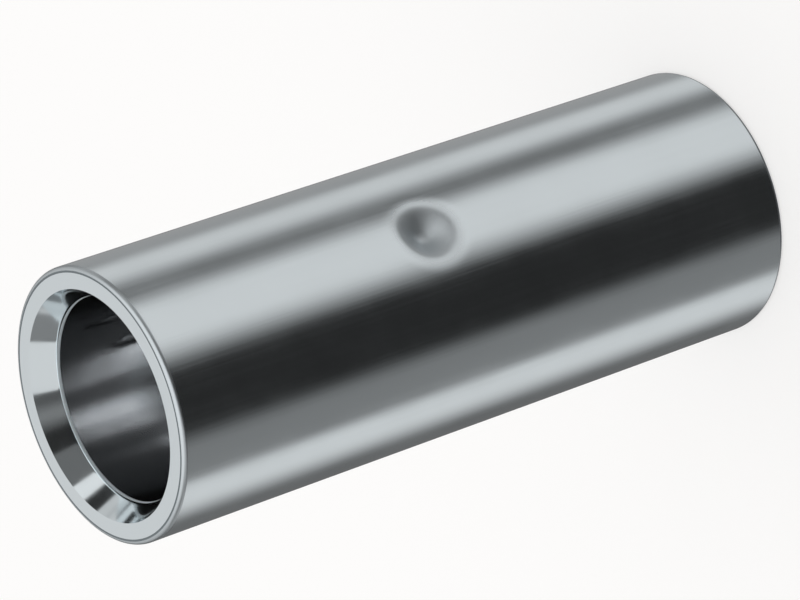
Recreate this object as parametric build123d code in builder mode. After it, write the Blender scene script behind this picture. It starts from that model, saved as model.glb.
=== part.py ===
# Butt splice connector: a tin-plated copper sleeve that crimps two stranded conductors end to end.
#
# It is one piece of drawn tube, cut square, with a lead-in in both mouths and a wire stop punched
# into its side. The sleeve stands on one end, with its axis along +Z and the origin at the centre
# of the lower end face. The punched dent faces -Y. Every size is in millimetres.

import os

from build123d import *

# Drawn tube
bore_diameter = 11.5
wall = 2.0

# Crimp barrels, each measured from its end face to the middle of the wire stop
upper_barrel = 19.0
lower_barrel = 23.0

# Cut ends: the outer edge is deburred, and the mouth tapers in to a rounded throat
outer_edge_radius = 0.25
lead_in_width = 0.75
lead_in_depth = 1.35
throat_radius = 0.6

# Wire stop: a blunt punch dents the wall from outside and raises a boss in the bore. Mandrels hold
# both barrels round meanwhile, and between them the bore is drawn in a little all the way round.
punch_half_angle = 50.0
dent_depth = 1.2
dent_nose_radius = 0.6
dent_rim_radius = 2.2
boss_height = 1.2
boss_nose_radius = 1.4
boss_root_radius = 0.8
mandrel_gap = 5.6
bore_draw_in = 0.02

# Overlaps that let the punched shapes cut and join cleanly
dent_overshoot = 0.5
boss_seat = 0.3

bore_radius = bore_diameter / 2
outer_radius = bore_radius + wall
mouth_radius = bore_radius + lead_in_width
length = lower_barrel + upper_barrel


def punch_section(nose_radius, depth, overlap):
    """Half section of a ball-nosed cone, from depth below the skin to overlap above it."""
    with BuildSketch() as section:
        with BuildLine():
            nose = CenterArc((0, nose_radius - depth), nose_radius, -90, 90 - punch_half_angle)
            rise = overlap - (nose @ 1).Y
            flank = PolarLine(nose @ 1, rise, direction=nose % 1, length_mode=LengthMode.VERTICAL)
            Polyline(flank @ 1, (0, overlap), nose @ 0)
        make_face()
    return section.sketch


def skin_plane(radius):
    """Plane at the wire stop on a skin of the tube, with x up the tube and y out of the wall."""
    return Plane(origin=(0, -radius, lower_barrel), x_dir=(0, 0, 1), z_dir=(1, 0, 0))


punch_axis = Axis((0, 0, lower_barrel), (0, -1, 0))

with BuildPart() as barrel:
    # Half section of the tube wall, turned about the tube's axis
    with BuildSketch(Plane.XZ):
        with BuildLine():
            drawn_in = ThreePointArc(
                (bore_radius, lower_barrel + mandrel_gap / 2),
                (bore_radius - bore_draw_in, lower_barrel),
                (bore_radius, lower_barrel - mandrel_gap / 2),
            )
            Polyline(
                drawn_in @ 1,
                (bore_radius, lead_in_depth),
                (mouth_radius, 0),
                (outer_radius, 0),
                (outer_radius, length),
                (mouth_radius, length),
                (bore_radius, length - lead_in_depth),
                drawn_in @ 0,
            )
        make_face()
        fillet(vertices().group_by(Axis.X)[-1], outer_edge_radius)
        bore_points = vertices().group_by(Axis.X)[0].sort_by(Axis.Y)
        fillet([bore_points[0], bore_points[-1]], throat_radius)
    revolve(axis=Axis.Z)

    # Dent in the outer skin, with its rim drawn in softly
    dent = punch_section(dent_nose_radius, dent_depth, dent_overshoot)
    revolve(skin_plane(outer_radius) * dent, axis=punch_axis, mode=Mode.SUBTRACT)
    fillet(barrel.edges(Select.LAST).sort_by(Axis.Y)[0], dent_rim_radius)

    # Boss that the same blow raises on the bore, where the conductors stop
    boss = punch_section(boss_nose_radius, boss_height, boss_seat)
    revolve(skin_plane(bore_radius - bore_draw_in) * boss, axis=punch_axis)
    fillet(barrel.edges(Select.LAST).sort_by(Axis.Y)[0], boss_root_radius)

barrel.part.label = "barrel"

os.makedirs("parts", exist_ok=True)
export_step(barrel.part, "parts/barrel.step")
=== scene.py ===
"""Looks of a bare butt splice sleeve: a bright tin-plated copper tube on a pale studio floor.

The sleeve stands on one end with its axis along Z and the punched wire stop facing -Y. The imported
model gives its outer size and its place. Every length is in metres.
"""

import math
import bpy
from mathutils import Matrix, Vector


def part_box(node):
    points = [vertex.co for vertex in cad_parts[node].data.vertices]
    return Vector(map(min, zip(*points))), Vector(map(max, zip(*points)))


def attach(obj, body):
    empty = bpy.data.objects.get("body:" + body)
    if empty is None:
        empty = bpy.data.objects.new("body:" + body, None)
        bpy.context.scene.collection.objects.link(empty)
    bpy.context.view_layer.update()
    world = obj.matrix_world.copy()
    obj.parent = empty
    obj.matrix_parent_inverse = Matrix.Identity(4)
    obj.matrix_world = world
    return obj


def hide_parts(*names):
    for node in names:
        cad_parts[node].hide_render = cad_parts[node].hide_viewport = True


bl_info = {
    "name": "Butt Splice Sleeve",
    "version": (1, 0, 0),
    "blender": (4, 5, 0),
    "location": "3D View > Sidebar > Splice",
    "description": "Models a tin-plated butt splice sleeve with its wire stop, and its studio",
    "category": "Add Mesh",
}

import bmesh
import bpy
from mathutils import Quaternion, Vector

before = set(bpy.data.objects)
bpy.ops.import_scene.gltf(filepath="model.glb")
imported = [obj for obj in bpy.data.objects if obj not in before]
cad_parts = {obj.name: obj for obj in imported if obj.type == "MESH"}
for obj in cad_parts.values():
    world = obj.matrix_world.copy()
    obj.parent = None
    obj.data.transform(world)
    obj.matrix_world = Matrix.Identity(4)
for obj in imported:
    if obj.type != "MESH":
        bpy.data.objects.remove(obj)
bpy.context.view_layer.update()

NODE = "barrel"
BOX_LOW, BOX_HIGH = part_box(NODE)

# A vertex belongs to a place on the sleeve when it lies this near to it
NEAR = 1e-6


def linear(hex_colour):
    """Scene-linear colour, with alpha, of an sRGB hex value."""
    channels = []
    for start in (1, 3, 5):
        value = int(hex_colour[start:start + 2], 16) / 255
        channels.append(value / 12.92 if value <= 0.04045 else ((value + 0.055) / 1.055) ** 2.4)
    return (*channels, 1.0)


class SleeveSizes(bpy.types.PropertyGroup):
    """Sizes of the sleeve."""

    outer_diameter: bpy.props.FloatProperty(
        name="Outer diameter",
        description="Across the outside of the drawn tube",
        default=BOX_HIGH.x - BOX_LOW.x,
        unit="LENGTH",
    )
    bore_diameter: bpy.props.FloatProperty(
        name="Bore diameter",
        description="Across the inside of the drawn tube",
        default=0.0115,
        unit="LENGTH",
    )
    length: bpy.props.FloatProperty(
        name="Length",
        description="Between the two cut ends",
        default=BOX_HIGH.z - BOX_LOW.z,
        unit="LENGTH",
    )
    lead_in_width: bpy.props.FloatProperty(
        name="Lead-in width",
        description="How much wider than the bore the mouth is, on each side",
        default=0.00075,
        unit="LENGTH",
    )
    lead_in_depth: bpy.props.FloatProperty(
        name="Lead-in depth",
        description="How far the taper of the mouth goes in",
        default=0.00135,
        unit="LENGTH",
    )
    throat_radius: bpy.props.FloatProperty(
        name="Throat radius",
        description="Rounding where the taper meets the bore",
        default=0.0006,
        unit="LENGTH",
    )
    edge_radius: bpy.props.FloatProperty(
        name="Edge radius",
        description="Deburred outer edge of both cut ends",
        default=0.00025,
        unit="LENGTH",
    )
    stop_height: bpy.props.FloatProperty(
        name="Wire stop height",
        description="Middle of the wire stop above the lower end",
        default=0.023,
        unit="LENGTH",
    )
    dent_depth: bpy.props.FloatProperty(
        name="Dent depth",
        description="How deep the punch sinks the outer skin",
        default=0.0012,
        unit="LENGTH",
    )
    dent_reach: bpy.props.FloatProperty(
        name="Dent reach",
        description="From the middle of the dent to where the skin is round again",
        default=0.0027,
        unit="LENGTH",
    )
    punch_reach: bpy.props.FloatProperty(
        name="Punch reach",
        description="From the middle of the dent to where the punch itself leaves the skin",
        default=0.00195,
        unit="LENGTH",
    )
    dent_rim: bpy.props.FloatProperty(
        name="Dent rim",
        description="How much of the depth is the soft sag of the skin round the punch",
        default=0.00045,
        unit="LENGTH",
    )
    nose: bpy.props.FloatProperty(
        name="Punch nose",
        description="Reach of the rounding at the bottom of the dent",
        default=0.0004,
        unit="LENGTH",
    )
    boss_height: bpy.props.FloatProperty(
        name="Boss height",
        description="How far the boss stands up in the bore",
        default=0.0012,
        unit="LENGTH",
    )
    boss_reach: bpy.props.FloatProperty(
        name="Boss reach",
        description="From the middle of the boss to where the bore is round again",
        default=0.00226,
        unit="LENGTH",
    )
    draw_in: bpy.props.FloatProperty(
        name="Draw-in",
        description="How much the blow narrows the bore all round at the wire stop, on the radius",
        default=0.00002,
        unit="LENGTH",
    )
    draw_in_reach: bpy.props.FloatProperty(
        name="Draw-in reach",
        description="From the wire stop to where the bore has its full width again",
        default=0.0028,
        unit="LENGTH",
    )
    holding: bpy.props.FloatProperty(
        name="Holding ring",
        description="From each rounded edge to the ring that keeps the face beside it flat",
        default=0.00003,
        unit="LENGTH",
    )
    segments: bpy.props.IntProperty(
        name="Segments",
        description="Faces round the tube, a multiple of four",
        default=320,
        min=32,
        step=4,
    )
    stop_rings: bpy.props.IntProperty(
        name="Wire stop rings",
        description="Close rings across the wire stop, an odd number so that one is in its middle",
        default=45,
        min=9,
    )


class SleeveFinish(bpy.types.PropertyGroup):
    """Colours of the tin plating."""

    tin: bpy.props.FloatVectorProperty(
        name="Tin",
        description="Bright tin plating on the drawn skin",
        subtype="COLOR",
        size=4,
        min=0,
        max=1,
        default=linear("#E0E7EA"),
    )
    # Greyer plating in the dent: partly crushed plating, partly painted shade of the dent
    crushed_tin_and_dent_shade: bpy.props.FloatVectorProperty(
        name="Crushed tin and dent shade",
        description="Plating in the dent, matt from the punch and greyer with painted shade",
        subtype="COLOR",
        size=4,
        min=0,
        max=1,
        default=linear("#D2D8DB"),
    )
    # Painted shade: a dark line round the cut end
    painted_edge_shade: bpy.props.FloatVectorProperty(
        name="Painted edge shade",
        description="Dark line of painted shade round the cut end",
        subtype="COLOR",
        size=4,
        min=0,
        max=1,
        default=linear("#7C8488"),
    )
    brushed_tin: bpy.props.FloatVectorProperty(
        name="Brushed tin",
        description="Plating on the deburred edge, brushed grey",
        subtype="COLOR",
        size=4,
        min=0,
        max=1,
        default=linear("#B8BEC1"),
    )
    bore_tin: bpy.props.FloatVectorProperty(
        name="Bore tin",
        description="Plating down the bore, a little warmer than on the skin",
        subtype="COLOR",
        size=4,
        min=0,
        max=1,
        default=linear("#E5E6E7"),
    )


class StudioSettings(bpy.types.PropertyGroup):
    """Floor, light and camera."""

    floor: bpy.props.FloatVectorProperty(
        name="Floor",
        description="Pale paper of the floor and its backdrop",
        subtype="COLOR",
        size=4,
        min=0,
        max=1,
        default=linear("#FDFCFB"),
    )
    dome: bpy.props.FloatProperty(
        name="Dome",
        description="Brightness of the white dome over the sleeve",
        default=1.42,
        min=0,
    )
    camera_azimuth: bpy.props.FloatProperty(
        name="Camera azimuth",
        description="Round the sleeve from -Y towards +X",
        default=math.radians(-25.3),
        subtype="ANGLE",
    )
    camera_elevation: bpy.props.FloatProperty(
        name="Camera elevation",
        description="Above the horizon",
        default=math.radians(33.802),
        subtype="ANGLE",
    )
    camera_roll: bpy.props.FloatProperty(
        name="Camera roll",
        description="Turn about the line of sight, because the photo shows the sleeve on its side",
        default=math.radians(-108.969),
        subtype="ANGLE",
    )
    camera_distance: bpy.props.FloatProperty(
        name="Camera distance",
        description="From the middle of the sleeve, along the line of sight",
        default=0.27992,
        unit="LENGTH",
    )
    camera_right: bpy.props.FloatProperty(
        name="Camera to the right",
        description="Sideways shift that frames the sleeve as in the photo",
        default=-0.00046,
        unit="LENGTH",
    )
    focal_length: bpy.props.FloatProperty(
        name="Focal length",
        description="In millimetres on a sensor 36 mm wide",
        default=226.88,
        unit="CAMERA",
    )


def add(tree, kind, sockets=None, **settings):
    """Add a node with its settings, and join or set its input sockets."""
    made = tree.nodes.new(kind)
    for name, value in settings.items():
        setattr(made, name, value)
    for name, value in (sockets or {}).items():
        if isinstance(value, bpy.types.NodeSocket):
            tree.links.new(value, made.inputs[name])
        else:
            made.inputs[name].default_value = value
    return made


def start_material(name):
    """A new material whose node tree is empty."""
    material = bpy.data.materials.new(name)
    material.use_nodes = True
    material.node_tree.nodes.clear()
    return material


def drawn_tin(finish, sizes):
    """Bright tin electroplated on drawn copper tube: silvery and satin, with fine lines along it.

    The die and the mandrel leave draw lines along the tube. The thin plating keeps them, so
    reflections stay sharp along the tube and go soft round it. The lines are a few hundredths
    of a millimetre apart and are drawn about three times as coarse, to show at all.
    """
    material = start_material("drawn_tin_plating")
    tree = material.node_tree
    place = add(tree, "ShaderNodeTexCoord").outputs["Object"]

    # Draw lines: noise that is fine round the tube and long along it
    line_width = 0.00012
    line_length = 0.012
    along = add(tree, "ShaderNodeMapping", {
        "Vector": place,
        "Scale": (1 / line_width, 1 / line_width, 1 / line_length),
    })
    lines = add(tree, "ShaderNodeTexNoise", {
        "Vector": along.outputs["Vector"], "Scale": 1.0, "Detail": 3.0, "Roughness": 0.6,
    })

    # Clouds: the plating's grain differs in patches
    cloud_size = 0.004
    clouds = add(tree, "ShaderNodeTexNoise", {
        "Vector": place, "Scale": 1 / cloud_size, "Detail": 4.0, "Roughness": 0.55,
    })

    roughness = add(tree, "ShaderNodeMapRange", {
        "Value": clouds.outputs["Fac"],
        "From Min": 0.3, "From Max": 0.7, "To Min": 0.15, "To Max": 0.21,
    })
    streaks = add(tree, "ShaderNodeMapRange", {
        "Value": lines.outputs["Fac"],
        "From Min": 0.3, "From Max": 0.7, "To Min": -0.03, "To Max": 0.03,
    })
    satin = add(tree, "ShaderNodeMath", {
        0: roughness.outputs["Result"], 1: streaks.outputs["Result"],
    }, operation="ADD")

    # The punch crushes the plating, which grows matt towards the middle of the dent. The grey there
    # is partly the crushed plating and partly painted shade of the dent.
    matt_edge = sizes.dent_reach * 0.9
    matt_middle = sizes.dent_reach * 0.45
    matt_roughness = 0.55
    centred = add(tree, "ShaderNodeMapping", {
        "Vector": place, "Location": (0, sizes.outer_diameter / 2, -sizes.stop_height),
    })
    from_stop = add(tree, "ShaderNodeVectorMath", {
        0: centred.outputs["Vector"],
    }, operation="LENGTH")
    crushed_and_shaded = add(tree, "ShaderNodeMapRange", {
        "Value": from_stop.outputs["Value"],
        "From Min": matt_edge, "From Max": matt_middle,
    }, interpolation_type="SMOOTHSTEP")
    matt = add(tree, "ShaderNodeMix", {
        0: crushed_and_shaded.outputs["Result"], 2: satin.outputs["Value"], 3: matt_roughness,
    })
    # Painted shade and crushed plating: the colour greys towards the middle of the dent
    grey = add(tree, "ShaderNodeMix", {
        0: crushed_and_shaded.outputs["Result"], 6: finish.tin, 7: finish.crushed_tin_and_dent_shade,
    }, data_type="RGBA")
    relief = add(tree, "ShaderNodeBump", {
        "Height": lines.outputs["Fac"], "Strength": 0.25, "Distance": 0.000004,
    })
    shader = add(tree, "ShaderNodeBsdfPrincipled", {
        "Base Color": grey.outputs[2],
        "Metallic": 1.0,
        "Roughness": matt.outputs[0],
        "Normal": relief.outputs["Normal"],
    })
    add(tree, "ShaderNodeOutputMaterial", {"Surface": shader.outputs["BSDF"]})
    return material


def turned_tin(finish, sizes):
    """Tin plating on the turned ends: brighter, with fine rings round the axis left by the tool."""
    material = start_material("turned_tin_plating")
    tree = material.node_tree
    place = add(tree, "ShaderNodeTexCoord").outputs["Object"]
    apart = add(tree, "ShaderNodeSeparateXYZ", {"Vector": place})
    flat = add(tree, "ShaderNodeCombineXYZ", {"X": apart.outputs["X"], "Y": apart.outputs["Y"]})
    from_axis = add(tree, "ShaderNodeVectorMath", {0: flat.outputs["Vector"]}, operation="LENGTH")

    # Tool feed of 0.1 mm, read across the ring and down the taper
    feed = 0.0001
    across = add(tree, "ShaderNodeCombineXYZ", {
        "X": from_axis.outputs["Value"], "Z": apart.outputs["Z"],
    })
    grooves = add(tree, "ShaderNodeTexNoise", {
        "Vector": across.outputs["Vector"], "Scale": 1 / feed, "Detail": 2.0,
    })

    # Clouds: the ends are small, so the plating's grain differs in smaller patches
    cloud_size = 0.0015
    clouds = add(tree, "ShaderNodeTexNoise", {
        "Vector": place, "Scale": 1 / cloud_size, "Detail": 3.0,
    })
    roughness = add(tree, "ShaderNodeMapRange", {
        "Value": clouds.outputs["Fac"],
        "From Min": 0.3, "From Max": 0.7, "To Min": 0.07, "To Max": 0.13,
    })
    relief = add(tree, "ShaderNodeBump", {
        "Height": grooves.outputs["Fac"], "Strength": 0.2, "Distance": 0.000003,
    })

    # A dark line of painted shade runs round the ring, and the deburring tool leaves a brushed edge
    # outside it
    ring_edge = sizes.outer_diameter / 2 - sizes.edge_radius
    shade_line_inset = 0.00004
    half_shade_line = 0.00006
    brushed_roughness = 0.36
    on_painted_shade_line = add(tree, "ShaderNodeMath", {
        0: from_axis.outputs["Value"], 1: ring_edge - shade_line_inset, 2: half_shade_line,
    }, operation="COMPARE")
    brushed = add(tree, "ShaderNodeMath", {
        0: from_axis.outputs["Value"], 1: ring_edge,
    }, operation="GREATER_THAN")
    outside = add(tree, "ShaderNodeMix", {
        0: brushed.outputs["Value"], 2: roughness.outputs["Result"], 3: brushed_roughness,
    })

    # The throat is rounded with an abrasive cone, which leaves it matt where it meets the bore
    matt_width = 0.00003
    throat_end = sizes.bore_diameter / 2 + matt_width
    throat_roughness = 0.75
    in_throat = add(tree, "ShaderNodeMath", {
        0: from_axis.outputs["Value"], 1: throat_end,
    }, operation="LESS_THAN")
    rough = add(tree, "ShaderNodeMix", {
        0: in_throat.outputs["Value"], 2: outside.outputs[0], 3: throat_roughness,
    })

    edged = add(tree, "ShaderNodeMix", {
        0: brushed.outputs["Value"], 6: finish.tin, 7: finish.brushed_tin,
    }, data_type="RGBA")
    # Painted shade line laid over the plating round the ring
    with_painted_shade = add(tree, "ShaderNodeMix", {
        0: on_painted_shade_line.outputs["Value"], 6: edged.outputs[2], 7: finish.painted_edge_shade,
    }, data_type="RGBA")
    shader = add(tree, "ShaderNodeBsdfPrincipled", {
        "Base Color": with_painted_shade.outputs[2],
        "Metallic": 1.0,
        "Roughness": rough.outputs[0],
        "Normal": relief.outputs["Normal"],
    })
    add(tree, "ShaderNodeOutputMaterial", {"Surface": shader.outputs["BSDF"]})
    return material


def bore_tin(finish):
    """Tin plating down the bore: plain and smooth, so that the bore mirrors itself many times."""
    material = start_material("bore_tin_plating")
    tree = material.node_tree
    shader = add(tree, "ShaderNodeBsdfPrincipled", {
        "Base Color": finish.bore_tin,
        "Metallic": 1.0,
        "Roughness": 0.08,
    })
    add(tree, "ShaderNodeOutputMaterial", {"Surface": shader.outputs["BSDF"]})
    return material


def matt_paper(settings):
    """Background paper: matt and evenly pale, so it only shows the sleeve's soft shadow."""
    material = start_material("background_paper")
    tree = material.node_tree
    shader = add(tree, "ShaderNodeBsdfPrincipled", {
        "Base Color": settings.floor, "Roughness": 0.9, "Specular IOR Level": 0.2,
    })

    # For the camera, light through the paper evens it out and leaves the shadow faint
    light_through = 0.6
    through = add(tree, "ShaderNodeEmission", {"Color": settings.floor, "Strength": 1.0})
    camera_ray = add(tree, "ShaderNodeLightPath").outputs["Is Camera Ray"]
    share = add(tree, "ShaderNodeMath", {0: camera_ray, 1: light_through}, operation="MULTIPLY")
    surface = add(tree, "ShaderNodeMixShader", {
        0: share.outputs["Value"], 1: shader.outputs["BSDF"], 2: through.outputs["Emission"],
    })
    add(tree, "ShaderNodeOutputMaterial", {"Surface": surface.outputs["Shader"]})
    return material


def select(where):
    """In edit mode, select only the vertices that pass a test of their place, and what they bound."""
    bpy.ops.mesh.select_all(action="DESELECT")
    bpy.ops.mesh.select_mode(type="VERT")
    mesh = bmesh.from_edit_mesh(bpy.context.object.data)
    for vertex in mesh.verts:
        vertex.select = where(vertex.co)
    mesh.select_flush_mode()
    bmesh.update_edit_mesh(bpy.context.object.data)


def on_ring(radius, height):
    """A test for vertices on a ring about the axis."""
    def test(place):
        return abs(place.xy.length - radius) < NEAR and abs(place.z - height) < NEAR
    return test


def sort_faces(mesh):
    """Order the faces by the vertices they join, because Blender leaves them in a chance order."""
    mesh.verts.index_update()

    def rank(face):
        numbers = [vertex.index for vertex in face.verts]
        return min(numbers) * len(mesh.verts) + max(numbers)

    mesh.faces.sort(key=rank)


class SPLICE_OT_make_sleeve(bpy.types.Operator):
    """Model the sleeve: the drawn tube with its cut ends, its lead-ins and the punched wire stop"""

    bl_idname = "splice.make_sleeve"
    bl_label = "Make Sleeve"

    def execute(self, context):
        sizes = context.scene.splice_sizes
        outer = sizes.outer_diameter / 2
        bore = sizes.bore_diameter / 2
        mouth = bore + sizes.lead_in_width
        top = sizes.length
        stop = sizes.stop_height
        mid_wall = (outer + bore) / 2

        # The wire stop's close rings reach this far above and below it, a little past the dent
        band = max(sizes.dent_reach, sizes.draw_in_reach) * 1.05

        # Corners of the wall's section, each with the width and steps of the edge that it gets
        throat_turn = math.atan2(sizes.lead_in_width, sizes.lead_in_depth)
        throat_offset = sizes.throat_radius * math.tan(throat_turn / 2)
        corners = (
            (mouth, 0, 0, 0),
            (outer, 0, sizes.edge_radius, 6),
            (outer, top, sizes.edge_radius, 6),
            (mouth, top, 0, 0),
            (bore, top - sizes.lead_in_depth, throat_offset, 8),
            (bore, sizes.lead_in_depth, throat_offset, 8),
        )

        # Rings go up the outside and down the bore, with a holding ring beside each edge
        rings = []
        for index, (radius, height, width, _) in enumerate(corners):
            next_radius, next_height, next_width, _ = corners[(index + 1) % len(corners)]
            here, there = Vector((radius, height)), Vector((next_radius, next_height))
            along = (there - here).normalized()
            rings.append(here)
            rings.append(here + along * (width + sizes.holding))

            # The two long walls also get close rings where the wire stop is punched
            if (there - here).length > 2 * band:
                gaps = sizes.stop_rings + 1
                close = [stop - band + 2 * band * gap / gaps for gap in range(gaps + 1)]
                if there.y < here.y:
                    close.reverse()
                rings += [Vector((radius, level)) for level in close]
            rings.append(there - along * (next_width + sizes.holding))

        bpy.ops.object.select_all(action="DESELECT")
        bpy.ops.mesh.primitive_circle_add(vertices=sizes.segments, radius=mouth, fill_type="NOTHING")
        sleeve = context.object
        sleeve.name = "sleeve"
        bpy.ops.object.mode_set(mode="EDIT")
        bpy.ops.mesh.select_all(action="SELECT")
        for here, there in zip(rings, rings[1:]):
            bpy.ops.mesh.extrude_region_move(
                TRANSFORM_OT_translate={"value": (0, 0, there.y - here.y)}
            )
            scale = there.x / here.x
            bpy.ops.transform.resize(value=(scale, scale, 1), center_override=(0, 0, there.y))
        first, last = on_ring(*rings[0]), on_ring(*rings[-1])
        select(lambda place: last(place) or first(place))
        bpy.ops.mesh.bridge_edge_loops()

        # Rounded throats and deburred outer edges; the mouth edges stay sharp
        for radius, height, width, steps in corners:
            if not width:
                continue
            select(on_ring(radius, height))
            bpy.ops.mesh.bevel(offset=width, segments=steps, profile=0.5, affect="EDGES")

        # The bore is drawn in all round, then the punch sinks the dent and raises the boss
        select(on_ring(bore, stop))
        narrow = 1 - sizes.draw_in / bore
        bpy.ops.transform.resize(
            value=(narrow, narrow, 1),
            center_override=(0, 0, stop),
            use_proportional_edit=True,
            proportional_edit_falloff="SMOOTH",
            proportional_size=sizes.draw_in_reach,
            use_proportional_connected=True,
        )
        sunk = outer - sizes.dent_rim
        blows = (
            (bore - sizes.draw_in, sizes.boss_height, sizes.boss_reach, "SMOOTH"),
            (outer, sizes.dent_rim, sizes.dent_reach, "SHARP"),
            (sunk, sizes.dent_depth - sizes.dent_rim, sizes.punch_reach, "SMOOTH"),
        )

        # The vertex under the punch has moved with the wall, so it lies a little less near
        under_punch = 5 * NEAR
        for skin, depth, reach, falloff in blows:
            # Only one side of the wall moves, while the other is hidden
            select(lambda place: (place.xy.length < mid_wall) != (skin < mid_wall))
            bpy.ops.mesh.hide(unselected=False)
            middle = Vector((0, -skin, stop))
            select(lambda place: (place - middle).length < under_punch)
            bpy.ops.transform.translate(
                value=(0, depth, 0),
                use_proportional_edit=True,
                proportional_edit_falloff=falloff,
                proportional_size=reach,
            )
            bpy.ops.mesh.reveal(select=False)

        # The punch has a small round nose
        pit = Vector((0, sizes.dent_depth - outer, stop))
        select(lambda place: (place - pit).length < sizes.nose)
        bpy.ops.mesh.vertices_smooth(factor=0.5, repeat=5)

        bpy.ops.mesh.select_all(action="SELECT")
        bpy.ops.mesh.normals_make_consistent(inside=False)
        sort_faces(bmesh.from_edit_mesh(sleeve.data))
        bpy.ops.object.mode_set(mode="OBJECT")
        bpy.ops.object.shade_smooth_by_angle(angle=math.radians(35))

        # Plating: on the drawn skin, on the turned ends with their tapers, and down the bore
        finish = context.scene.splice_finish
        for material in (drawn_tin(finish, sizes), turned_tin(finish, sizes), bore_tin(finish)):
            sleeve.data.materials.append(material)
        turned, plain = 1, 2
        throat = sizes.lead_in_depth + throat_offset
        for face in sleeve.data.polygons:
            from_end = min(face.center.z, top - face.center.z)
            faces_axis = face.normal.xy.dot(face.center.xy) < 0
            if faces_axis and from_end > throat:
                face.material_index = plain
            elif faces_axis or from_end < sizes.edge_radius:
                face.material_index = turned

        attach(sleeve, "root")
        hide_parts(NODE)
        return {"FINISHED"}


class SPLICE_OT_make_stage(bpy.types.Operator):
    """Set up the pale floor with its round backdrop, the studio light and the camera"""

    bl_idname = "splice.make_stage"
    bl_label = "Make Stage"

    def execute(self, context):
        settings = context.scene.splice_studio
        self.make_floor(settings)
        self.light(context, settings)
        self.place_camera(context, settings)
        return {"FINISHED"}

    def make_floor(self, settings):
        """A round floor whose edge curves up into the backdrop, as a paper cove does."""
        reach, rise, curve = 1.2, 1.0, 0.5
        bpy.ops.object.select_all(action="DESELECT")
        bpy.ops.mesh.primitive_circle_add(vertices=128, radius=reach, fill_type="NGON")
        floor = bpy.context.object
        floor.name = "paper_floor"
        bpy.ops.object.mode_set(mode="EDIT")
        select(on_ring(reach, 0))
        bpy.ops.mesh.select_mode(type="EDGE")
        bpy.ops.mesh.extrude_edges_move(TRANSFORM_OT_translate={"value": (0, 0, rise)})
        select(on_ring(reach, 0))
        bpy.ops.mesh.bevel(offset=curve, segments=16, profile=0.5, affect="EDGES")
        bpy.ops.object.mode_set(mode="OBJECT")
        bpy.ops.object.shade_smooth_by_angle(angle=math.radians(30))
        floor.data.materials.append(matt_paper(settings))

        # The light comes through the backdrop, and the sleeve mirrors the studio beyond the paper
        floor.visible_glossy = False
        floor.visible_diffuse = False
        floor.visible_shadow = False

    def light(self, context, settings):
        """A white dome over the sleeve, with strip lights and black flags round it.

        A bright metal tube shows only what stands round it. Long soft strips give the light bands
        along the sleeve and a black flag beside the camera gives the dark one, as in the photo.
        Each card is (start, end, softness of the start, softness of the end, brightness), with
        its angles in degrees round the sleeve from the camera.
        """
        world = bpy.data.worlds.new("studio_dome")
        context.scene.world = world
        world.use_nodes = True
        tree = world.node_tree
        tree.nodes.clear()
        direction = add(tree, "ShaderNodeTexCoord").outputs["Generated"]
        apart = add(tree, "ShaderNodeSeparateXYZ", {"Vector": direction})
        azimuth = add(tree, "ShaderNodeMath", {
            0: apart.outputs["Y"], 1: apart.outputs["X"],
        }, operation="ARCTAN2")
        facing = settings.camera_azimuth - math.pi / 2
        height = add(tree, "ShaderNodeMath", {0: apart.outputs["Z"]}, operation="ARCSINE")

        def window(value, start, end, soft_start, soft_end):
            """One between start and end, fading to nought over each soft edge, in degrees."""
            rise = add(tree, "ShaderNodeMapRange", {
                "Value": value,
                "From Min": math.radians(start - soft_start / 2),
                "From Max": math.radians(start + soft_start / 2),
            }, interpolation_type="SMOOTHSTEP")
            fall = add(tree, "ShaderNodeMapRange", {
                "Value": value,
                "From Min": math.radians(end - soft_end / 2),
                "From Max": math.radians(end + soft_end / 2),
                "To Min": 1.0,
                "To Max": 0.0,
            }, interpolation_type="SMOOTHSTEP")
            both = add(tree, "ShaderNodeMath", {
                0: rise.outputs["Result"], 1: fall.outputs["Result"],
            }, operation="MULTIPLY")
            return both.outputs["Value"]

        def cards(base, placed):
            """Brightness round the sleeve: base, with each card laid over the ones before it."""
            level = base
            for start, end, soft_start, soft_end, brightness in placed:
                middle = (start + end) / 2
                turned = add(tree, "ShaderNodeMath", {
                    0: azimuth.outputs["Value"], 1: facing + math.radians(middle),
                }, operation="SUBTRACT")
                away = add(tree, "ShaderNodeMath", {
                    0: turned.outputs["Value"], 1: math.pi, 2: -math.pi,
                }, operation="WRAP")
                half = (end - start) / 2
                share = window(away.outputs["Value"], -half, half, soft_start, soft_end)
                level = add(tree, "ShaderNodeMix", {0: share, 2: level, 3: brightness}).outputs[0]
            return level

        # The camera looks down, so the upright skin mirrors the cards below the horizon
        low = cards(0.225, (
            (168, 226, 12, 16, 0.145),
            (-121, -87.5, 30, 12, 0.74),
            (-48.5, 34, 18, 1, 0.022),
            (68, 100, 1, 1, 0.18),
            (19.5, 71, 30, 22, 0.74),
            (98, 130, 24, 26, 0.68),
            (133, 168, 22, 10, 0.34),
        ))

        # The taper of the mouth mirrors a belt of cards above the horizon
        belt = cards(0.2, (
            (120, 240, 20, 20, 0.73),
            (-122, -84, 10, 6, 0.25),
            (-82, -30, 3, 3, 0.76),
            (-30, 2, 3, 20, 0.22),
            (-30, -16, 3, 16, 0.1),
            (2, 30, 20, 4, 0.025),
            (30, 65, 4, 2, 0.16),
            (65, 82, 2, 2, 0.88),
            (84, 99, 2, 2, 0.03),
            (100, 120, 2, 8, 0.62),
        ))

        # Elevations in degrees at which one part of the studio gives way to the next, and how soft
        # the dome's edge is
        strip_foot, belt_foot, belt_top, dome_foot, dome_full = -58, 5, 33.5, 34, 56
        dome_edge = 3
        strips = window(height.outputs["Value"], strip_foot, belt_foot, 24, 4)
        ground = 0.14
        lower = add(tree, "ShaderNodeMix", {0: strips, 2: ground, 3: low})
        round_mouth = window(height.outputs["Value"], belt_foot, belt_top, 4, 3)

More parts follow.
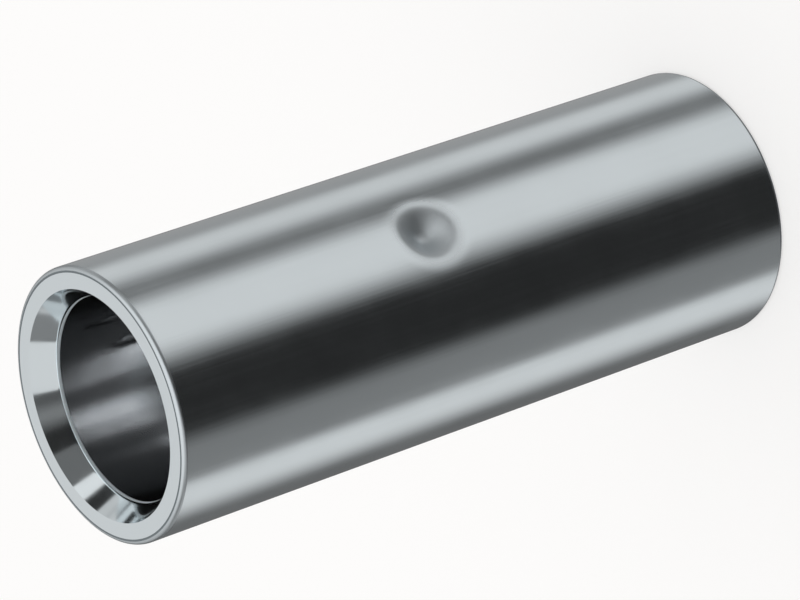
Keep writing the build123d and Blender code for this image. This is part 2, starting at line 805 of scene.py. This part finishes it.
        # The flat end ring mirrors the foot of the dome, which is dimmer than its top
        dome = add(tree, "ShaderNodeMapRange", {
            "Value": height.outputs["Value"],
            "From Min": math.radians(dome_foot), "From Max": math.radians(dome_full),
            "To Min": 0.73, "To Max": settings.dome,
        }, interpolation_type="SMOOTHSTEP")
        upper = add(tree, "ShaderNodeMapRange", {
            "Value": height.outputs["Value"],
            "From Min": math.radians(dome_foot - dome_edge), "From Max": math.radians(dome_foot),
        }, interpolation_type="SMOOTHSTEP")
        sky = add(tree, "ShaderNodeMix", {
            0: upper.outputs["Result"], 2: lower.outputs[0], 3: dome.outputs["Result"],
        })
        whole = add(tree, "ShaderNodeMix", {0: round_mouth, 2: sky.outputs[0], 3: belt})

        # Light crosses the bore about six times before it leaves at the far end. After six times it
        # leaves towards the cards that stand there, and otherwise into the dark. Light that was
        # mirrored four times or less sees none of this.
        crossings = add(tree, "ShaderNodeLightPath").outputs["Glossy Depth"]
        far_end = cards(0.25, (
            (285, 380, 50, 80, 1.35),
            (175, 290, 110, 50, 2.15),
        ))
        after_six = add(tree, "ShaderNodeMath", {
            0: crossings, 1: 6.0, 2: 0.5,
        }, operation="COMPARE")
        dark = 0.12
        behind = add(tree, "ShaderNodeMix", {
            0: after_six.outputs["Value"], 2: dark, 3: far_end,
        })
        deep = add(tree, "ShaderNodeMath", {0: crossings, 1: 4.5}, operation="GREATER_THAN")
        seen = add(tree, "ShaderNodeMix", {
            0: deep.outputs["Value"], 2: whole.outputs[0], 3: behind.outputs[0],
        })
        glow = add(tree, "ShaderNodeBackground", {
            "Color": (1, 1, 1, 1), "Strength": seen.outputs[0],
        })
        add(tree, "ShaderNodeOutputWorld", {"Surface": glow.outputs["Background"]})

        # Enough for light that the bore mirrors all the way down
        context.scene.cycles.glossy_bounces = 12

    def place_camera(self, context, settings):
        """A camera at the photo's viewing angle, looking at the middle of the sleeve."""
        azimuth, elevation = settings.camera_azimuth, settings.camera_elevation
        middle = (BOX_LOW + BOX_HIGH) / 2
        back = Vector((
            math.sin(azimuth) * math.cos(elevation),
            -math.cos(azimuth) * math.cos(elevation),
            math.sin(elevation),
        ))
        turn = back.to_track_quat("Z", "Y") @ Quaternion((0, 0, 1), settings.camera_roll)
        data = bpy.data.cameras.new("camera")
        data.sensor_width = 36
        data.lens = settings.focal_length
        data.clip_start = 0.01
        data.clip_end = 10
        camera = bpy.data.objects.new("camera", data)
        context.scene.collection.objects.link(camera)
        camera.rotation_mode = "QUATERNION"
        camera.rotation_quaternion = turn
        sideways = turn @ Vector((settings.camera_right, 0, 0))
        camera.location = middle + back * settings.camera_distance + sideways
        context.scene.camera = camera
        context.scene.view_settings.view_transform = "Standard"


class SPLICE_PT_panel(bpy.types.Panel):
    """Sizes, colours and steps of the splice sleeve."""

    bl_idname = "SPLICE_PT_panel"
    bl_label = "Butt Splice Sleeve"
    bl_space_type = "VIEW_3D"
    bl_region_type = "UI"
    bl_category = "Splice"

    def draw(self, context):
        for group in (
            context.scene.splice_sizes,
            context.scene.splice_finish,
            context.scene.splice_studio,
        ):
            box = self.layout.box()
            for name in group.__annotations__:
                box.prop(group, name)
        self.layout.operator(SPLICE_OT_make_sleeve.bl_idname)
        self.layout.operator(SPLICE_OT_make_stage.bl_idname)


CLASSES = (
    SleeveSizes,
    SleeveFinish,
    StudioSettings,
    SPLICE_OT_make_sleeve,
    SPLICE_OT_make_stage,
    SPLICE_PT_panel,
)


def register():
    """Add the classes and their settings to Blender."""
    for cls in CLASSES:
        bpy.utils.register_class(cls)
    bpy.types.Scene.splice_sizes = bpy.props.PointerProperty(type=SleeveSizes)
    bpy.types.Scene.splice_finish = bpy.props.PointerProperty(type=SleeveFinish)
    bpy.types.Scene.splice_studio = bpy.props.PointerProperty(type=StudioSettings)


def unregister():
    """Take them out again."""
    del bpy.types.Scene.splice_studio
    del bpy.types.Scene.splice_finish
    del bpy.types.Scene.splice_sizes
    for cls in reversed(CLASSES):
        bpy.utils.unregister_class(cls)


def main():
    """Make the sleeve and the stage."""
    register()
    bpy.ops.splice.make_sleeve()
    bpy.ops.splice.make_stage()


if __name__ == "__main__":
    main()
